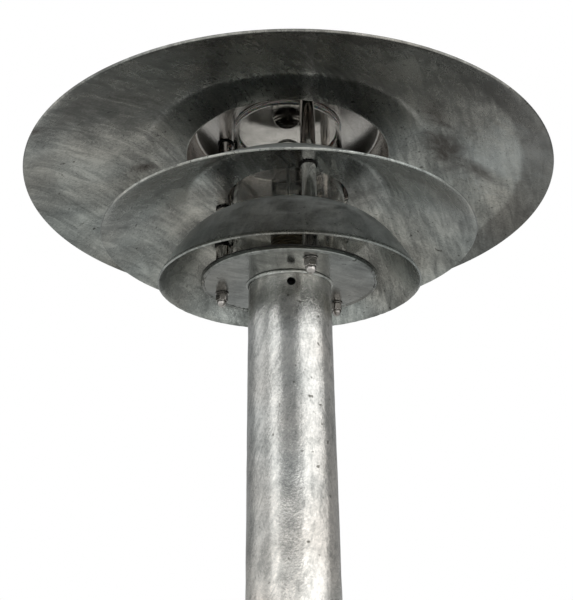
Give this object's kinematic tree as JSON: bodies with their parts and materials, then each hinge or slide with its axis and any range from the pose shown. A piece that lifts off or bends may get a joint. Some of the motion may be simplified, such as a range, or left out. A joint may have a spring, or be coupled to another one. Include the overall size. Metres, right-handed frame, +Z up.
{
  "type": "street lamp post",
  "caption": "Low galvanised steel lamp post with tiered ring shades around a clear glass cylinder; the upper shade lifts off with the glass for changing the lamp.",
  "frame": {"origin": "on the ground under the middle of the pole, at the underside of the foot plate", "axes": "+Z up along the pole; -Y is the side with the vent hole under the top flange"},
  "size_m": [0.3786, 0.3786, 1.0988],
  "materials": {
    "galvanised_pole": "hot-dip galvanised, bright and streaked",
    "zinc_weld": "weld bead under hot-dip zinc",
    "galvanised_sheet": "hot-dip galvanised, dull grey-green and mottled",
    "stainless": "polished stainless steel",
    "black_rubber": "matte",
    "milky_silicone": "translucent, matte",
    "clear_glass": "clear, smooth",
    "polished_aluminium": "polished",
    "steatite": "unglazed brown ceramic",
    "nickel_brass": "nickel plated",
    "grey_nylon": "moulded",
    "white_nylon": "moulded",
    "brown_sheath": "smooth",
    "blue_sheath": "smooth"
  },
  "bodies": {
    "post": {"foot_plate": "galvanised_pole", "pole_tube": "galvanised_pole", "top_flange": "galvanised_pole", "foot_weld": "zinc_weld", "flange_weld": "zinc_weld", "middle_shade": "galvanised_sheet", "lower_shade": "galvanised_sheet", "threaded_rod_1": "stainless", "threaded_rod_2": "stainless", "threaded_rod_3": "stainless", "lower_spacer_tube_1": "stainless", "lower_spacer_tube_2": "stainless", "lower_spacer_tube_3": "stainless", "middle_spacer_tube_1": "stainless", "middle_spacer_tube_2": "stainless", "middle_spacer_tube_3": "stainless", "upper_spacer_tube_1": "stainless", "upper_spacer_tube_2": "stainless", "upper_spacer_tube_3": "stainless", "flange_washer_1": "stainless", "flange_washer_2": "stainless", "flange_washer_3": "stainless", "flange_cap_nut_1": "stainless", "flange_cap_nut_2": "stainless", "flange_cap_nut_3": "stainless", "holder_bridge": "stainless", "bridge_screw_1": "stainless", "bridge_screw_2": "stainless", "flange_gasket": "black_rubber", "lower_shade_pad_1": "black_rubber", "lower_shade_pad_2": "black_rubber", "lower_shade_pad_3": "black_rubber", "middle_shade_pad_1": "black_rubber", "middle_shade_pad_2": "black_rubber", "middle_shade_pad_3": "black_rubber", "crown_pad_1": "black_rubber", "crown_pad_2": "black_rubber", "crown_pad_3": "black_rubber", "lamp_holder": "steatite", "cable_gland": "grey_nylon", "terminal_block": "white_nylon", "live_wire": "brown_sheath", "neutral_wire": "blue_sheath"},
    "upper_shade": {"upper_shade": "galvanised_sheet", "glass_cylinder": "clear_glass", "glass_top_gasket": "milky_silicone", "reflector_disc": "polished_aluminium", "crown_washer_1": "stainless", "crown_washer_2": "stainless", "crown_washer_3": "stainless"},
    "lamp": {"lamp_cap": "nickel_brass", "lamp_envelope": "clear_glass"},
    "crown_nut_1": {"crown_cap_nut_1": "stainless"},
    "crown_nut_2": {"crown_cap_nut_2": "stainless"},
    "crown_nut_3": {"crown_cap_nut_3": "stainless"}
  },
  "joints": [
    {"name": "upper_shade_lift", "type": "slide", "parent": "post", "child": "upper_shade", "axis": [0, 0, 1], "range_m": [0, 0.13]},
    {"name": "lamp_unscrew", "type": "hinge", "parent": "post", "child": "lamp", "pos_m": [0, 0, 1.005], "axis": [0, 0, 1], "range_deg": [0, 1080]},
    {"name": "crown_nut_1_unscrew", "type": "hinge", "parent": "upper_shade", "child": "crown_nut_1", "pos_m": [0.01395, -0.0503, 1.093], "axis": [0, 0, 1], "range_deg": [0, 2250]},
    {"name": "crown_nut_2_unscrew", "type": "hinge", "parent": "upper_shade", "child": "crown_nut_2", "pos_m": [0.03659, 0.03723, 1.093], "axis": [0, 0, 1], "range_deg": [0, 2250]},
    {"name": "crown_nut_3_unscrew", "type": "hinge", "parent": "upper_shade", "child": "crown_nut_3", "pos_m": [-0.05054, 0.01307, 1.093], "axis": [0, 0, 1], "range_deg": [0, 2250]}
  ]
}
